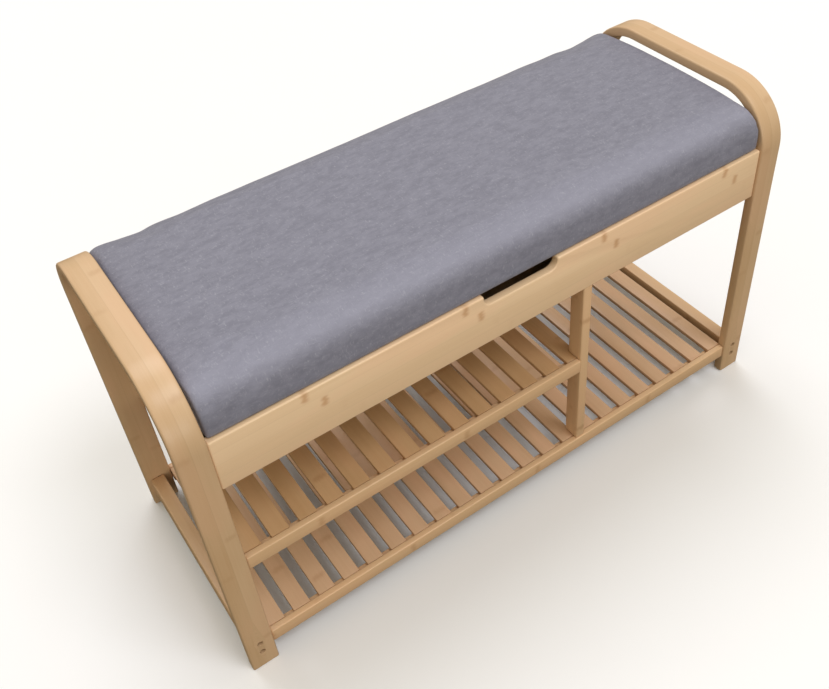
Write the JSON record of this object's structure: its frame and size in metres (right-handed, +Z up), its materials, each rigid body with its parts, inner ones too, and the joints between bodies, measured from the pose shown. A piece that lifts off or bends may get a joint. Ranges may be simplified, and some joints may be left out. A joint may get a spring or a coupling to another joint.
{
  "type": "entryway bench",
  "caption": "Bench with bent-wood end frames, a padded flip-up seat over a storage box, and slatted shoe shelves beside a tall boot bay.",
  "frame": {"origin": "on the floor, at the middle of the bench's length and depth", "axes": "+X along the bench to the tall open bay, -Y is the front, +Z is up"},
  "size_m": [0.9, 0.344, 0.512],
  "materials": {
    "bamboo": "satin clear lacquer over laminated bamboo",
    "plywood": "plain unpolished board",
    "seat_fabric": "heather grey woven upholstery",
    "hinge_steel": "zinc plated"
  },
  "bodies": {
    "frame": {"left_arch": "bamboo", "right_arch": "bamboo", "front_apron": "bamboo", "back_panel": "bamboo", "left_end_panel": "bamboo", "right_end_panel": "bamboo", "bottom_front_rail": "bamboo", "bottom_back_rail": "bamboo", "left_end_rail": "bamboo", "right_end_rail": "bamboo", "mid_front_rail": "bamboo", "mid_back_rail": "bamboo", "front_post": "bamboo", "back_post": "bamboo", "bottom_slat_01": "bamboo", "bottom_slat_02": "bamboo", "bottom_slat_03": "bamboo", "bottom_slat_04": "bamboo", "bottom_slat_05": "bamboo", "bottom_slat_06": "bamboo", "bottom_slat_07": "bamboo", "bottom_slat_08": "bamboo", "bottom_slat_09": "bamboo", "bottom_slat_10": "bamboo", "bottom_slat_11": "bamboo", "bottom_slat_12": "bamboo", "bottom_slat_13": "bamboo", "bottom_slat_14": "bamboo", "bottom_slat_15": "bamboo", "bottom_slat_16": "bamboo", "bottom_slat_17": "bamboo", "bottom_slat_18": "bamboo", "bottom_slat_19": "bamboo", "bottom_slat_20": "bamboo", "bottom_slat_21": "bamboo", "bottom_slat_22": "bamboo", "mid_slat_01": "bamboo", "mid_slat_02": "bamboo", "mid_slat_03": "bamboo", "mid_slat_04": "bamboo", "mid_slat_05": "bamboo", "mid_slat_06": "bamboo", "mid_slat_07": "bamboo", "mid_slat_08": "bamboo", "mid_slat_09": "bamboo", "mid_slat_10": "bamboo", "mid_slat_11": "bamboo", "mid_slat_12": "bamboo", "mid_slat_13": "bamboo", "mid_slat_14": "bamboo", "box_floor": "plywood", "left_hinge_frame_leaf": "hinge_steel", "left_hinge_pin": "hinge_steel", "right_hinge_frame_leaf": "hinge_steel", "right_hinge_pin": "hinge_steel"},
    "lid": {"lid_board": "plywood", "seat_cushion": "seat_fabric", "left_hinge_lid_leaf": "hinge_steel", "right_hinge_lid_leaf": "hinge_steel"}
  },
  "joints": [
    {"name": "lid_hinge", "type": "hinge", "parent": "frame", "child": "lid", "pos_m": [0, 0.1663, 0.4322], "axis": [-1, 0, 0], "range_deg": [0, 95]}
  ]
}
